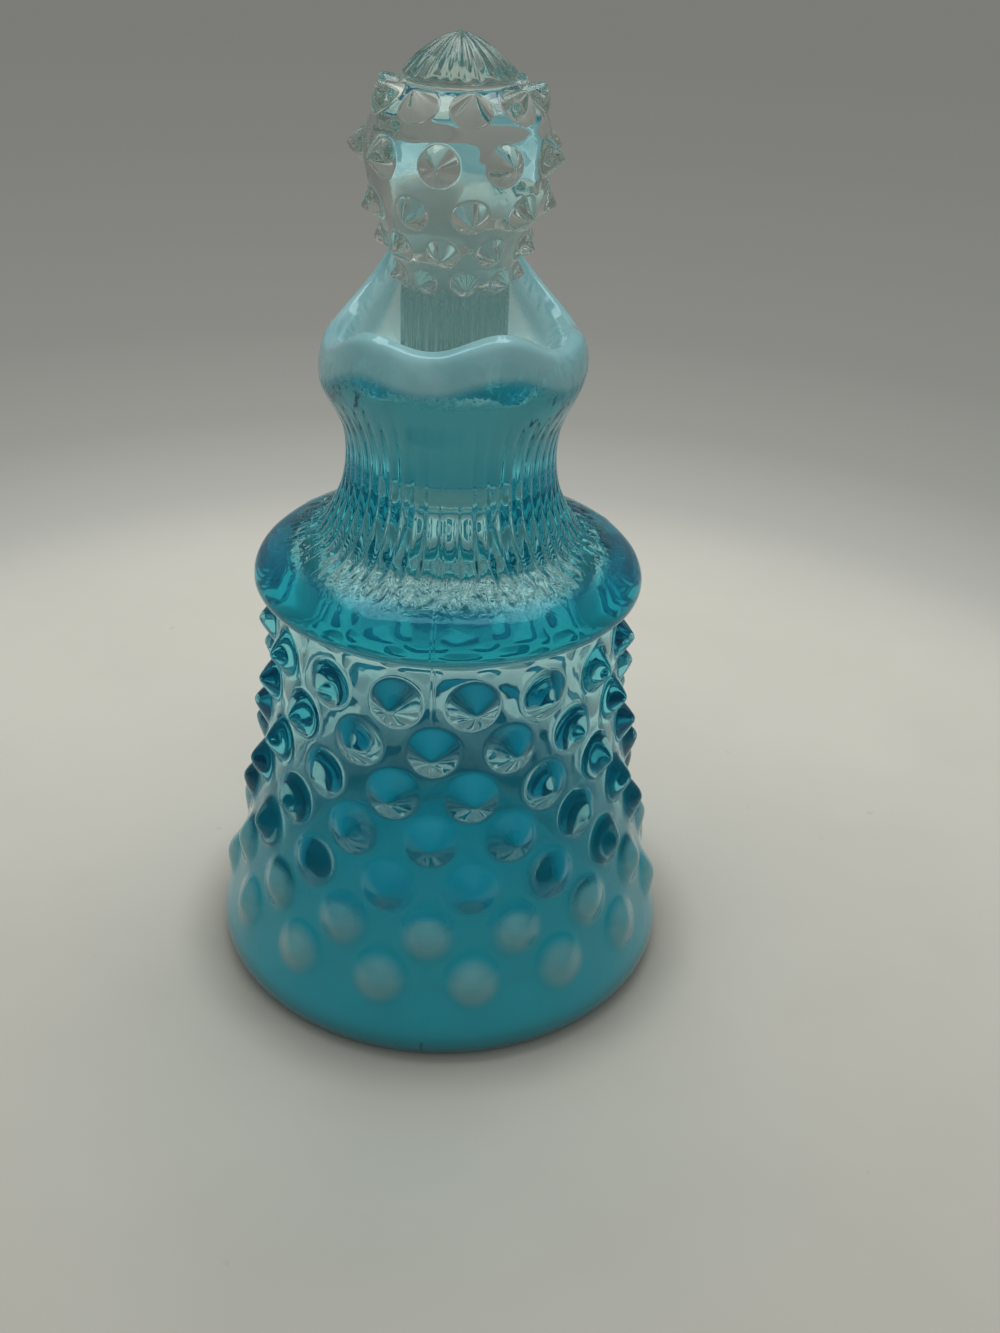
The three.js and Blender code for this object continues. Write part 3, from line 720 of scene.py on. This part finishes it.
def floor_paper():
    """Pale paper, lit near the cruet and seen at a set brightness farther away. Near the cruet it carries
    painted shade: darker towards the front and in a ring round the foot.
    """
    material = bpy.data.materials.new("floor_paper")
    nodes = Nodes(material)
    where = nodes.add("ShaderNodeTexCoord").outputs["Object"]
    length = nodes.add("ShaderNodeVectorMath", operation="LENGTH")
    nodes.link(where, length.inputs[0])
    away = length.outputs["Value"]
    speck = nodes.ramp(nodes.noise(where, 210.0, 2.0, 0.5), 0.74, 0.80, 1.0, 0.86)
    mottle = nodes.ramp(nodes.noise(where, 14.0, 4.0, 0.6), 0.3, 0.7, 0.97, 1.03)
    split = nodes.add("ShaderNodeSeparateXYZ")
    nodes.link(where, split.inputs[0])
    # Darker towards the front: painted shade, for the light falling off towards the camera.
    front = nodes.ramp(split.outputs["Y"], -0.10, 0.10, 0.80, 1.0)
    tone_and_painted_shade = nodes.math("MULTIPLY", speck, nodes.math("MULTIPLY", mottle, front))
    # Darker in a ring round the foot: a painted contact shadow, on top of the shadow the lamps cast.
    tone_and_painted_shade = nodes.math("MULTIPLY", tone_and_painted_shade, nodes.ramp(away, 0.034, 0.044, 0.72, 1.0))
    tinted = nodes.add("ShaderNodeMix", data_type="RGBA", blend_type="MULTIPLY")
    tinted.inputs[0].default_value = 1.0
    tinted.inputs[6].default_value = (0.525, 0.523, 0.476, 1)
    nodes.link(tone_and_painted_shade, tinted.inputs[7])
    surface = nodes.add("ShaderNodeBsdfPrincipled")
    surface.inputs["Roughness"].default_value = 0.75
    surface.inputs["Specular IOR Level"].default_value = 0.2
    nodes.link(tinted.outputs[2], surface.inputs["Base Color"])

    shade = nodes.add("ShaderNodeValToRGB")
    nodes.link(away, shade.inputs[0])
    stops = [(0.15, 0.47), (0.19, 0.39), (0.228, 0.31), (0.314, 0.251), (0.439, 0.231), (0.634, 0.212),
             (1.0, 0.20)]  # metres away, brightness
    elements = shade.color_ramp.elements
    elements[0].position, elements[1].position = stops[0][0], stops[-1][0]
    for place, _ in stops[1:-1]:
        elements.new(place)
    for element, (_, level) in zip(elements, stops):
        element.color = (level, level * 1.01, level * 0.93, 1)
    shown = nodes.add("ShaderNodeEmission")
    nodes.link(shade.outputs[0], shown.inputs["Color"])
    backdrop = nodes.add("ShaderNodeMixShader")
    nodes.link(nodes.math("MULTIPLY", seen_ray(nodes), nodes.ramp(away, 0.125, 0.18)), backdrop.inputs[0])
    nodes.link(surface.outputs[0], backdrop.inputs[1])
    nodes.link(shown.outputs[0], backdrop.inputs[2])
    output = nodes.add("ShaderNodeOutputMaterial")
    nodes.link(backdrop.outputs[0], output.inputs["Surface"])
    return material


def build_stage():
    floor = bpy.data.objects.new("floor", floor_mesh())
    bpy.context.scene.collection.objects.link(floor)
    floor.data.materials.append(floor_paper())


def area_lamp(name, place, target, size, power, glossy=False):
    """A soft panel that lights the surfaces or, if glossy, is only mirrored in them."""
    data = bpy.data.lights.new(name, "AREA")
    data.shape = "RECTANGLE"
    data.size, data.size_y = size
    data.energy = power
    data.color = (1, 0.99, 0.97)
    lamp = bpy.data.objects.new(name, data)
    lamp.visible_transmission = False
    lamp.visible_diffuse = not glossy
    lamp.visible_glossy = glossy
    aim = (Vector(target) - Vector(place)).to_track_quat("-Z", "Y")
    lamp.matrix_world = Matrix.Translation(Vector(place)) @ aim.to_matrix().to_4x4()
    bpy.context.scene.collection.objects.link(lamp)


def build_light():
    """An even room that is seen darker than it shines, two soft panels and a gleam overhead."""
    world = bpy.data.worlds.new("room")
    bpy.context.scene.world = world
    world.use_nodes = True
    tree = world.node_tree
    tree.nodes.clear()
    nodes = Nodes(world)
    where = nodes.add("ShaderNodeTexCoord").outputs["Generated"]
    split = nodes.add("ShaderNodeSeparateXYZ")
    nodes.link(where, split.inputs[0])
    up = split.outputs["Z"]
    shown = nodes.mix(nodes.ramp(up, 0.45, 0.95), (0.22, 0.223, 0.205, 1), (0.50, 0.505, 0.485, 1))
    sideways = nodes.math("ABSOLUTE", split.outputs["X"])
    shown = nodes.mix(nodes.ramp(sideways, 0.45, 0.8, 0.0, 0.3), shown, (0, 0, 0, 1))
    cast = nodes.mix(nodes.ramp(up, 0.1, 0.8), (0.34, 0.34, 0.33, 1), (0.80, 0.79, 0.76, 1))
    background = nodes.add("ShaderNodeBackground")
    nodes.link(nodes.mix(seen_ray(nodes), cast, shown), background.inputs["Color"])
    background.inputs["Strength"].default_value = 1.0
    output = nodes.add("ShaderNodeOutputWorld")
    nodes.link(background.outputs[0], output.inputs["Surface"])
    area_lamp("panel_behind", (0.02, 0.30, 0.45), (0, 0, 0.1), (0.40, 0.08), 0.75)
    area_lamp("panel_above", (-0.01, 0.04, 0.54), (0, 0, 0.08), (0.44, 0.10), 0.62)
    area_lamp("gleam", (0.0, 0.12, 0.54), (0, 0, 0.1), (0.50, 0.22), 1.0, glossy=True)


def build_camera():
    """The photograph's own view, found from the rings of hobs, the foot and the collar."""
    pan, pitch, roll = 0.040634, 0.523651, 0.043320
    focal, photo_width = 1516.487, 1000  # pixels
    distance, height = 0.196796, 0.160106
    forward = Vector((math.sin(pan) * math.cos(pitch), math.cos(pan) * math.cos(pitch), -math.sin(pitch)))
    right = Vector((math.cos(pan), -math.sin(pan), 0))
    up = right.cross(forward)
    right, up = (math.cos(roll) * right + math.sin(roll) * up, math.cos(roll) * up - math.sin(roll) * right)
    data = bpy.data.cameras.new("camera")
    data.sensor_fit = "HORIZONTAL"
    data.sensor_width = 36
    data.lens = focal * data.sensor_width / photo_width
    data.clip_start, data.clip_end = 0.01, 20
    camera = bpy.data.objects.new("camera", data)
    turned = Matrix((right, up, -forward)).transposed().to_4x4()
    camera.matrix_world = Matrix.Translation((0, -distance, height)) @ turned
    bpy.context.scene.collection.objects.link(camera)
    bpy.context.scene.camera = camera


bottle_piece = build_bottle()
bottle_piece.data.materials.append(blue_glass())
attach(bottle_piece, "bottle")
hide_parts("bottle")

stopper_piece = build_stopper()
stopper_piece.data.materials.append(clear_glass())
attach(stopper_piece, "stopper")
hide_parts("stopper")

build_stage()
build_light()
build_camera()

scene = bpy.context.scene
scene.view_settings.view_transform = "Standard"
scene.cycles.max_bounces = 32
scene.cycles.transmission_bounces = 32
scene.cycles.glossy_bounces = 12
scene.cycles.transparent_max_bounces = 32

bpy.context.view_layer.update()
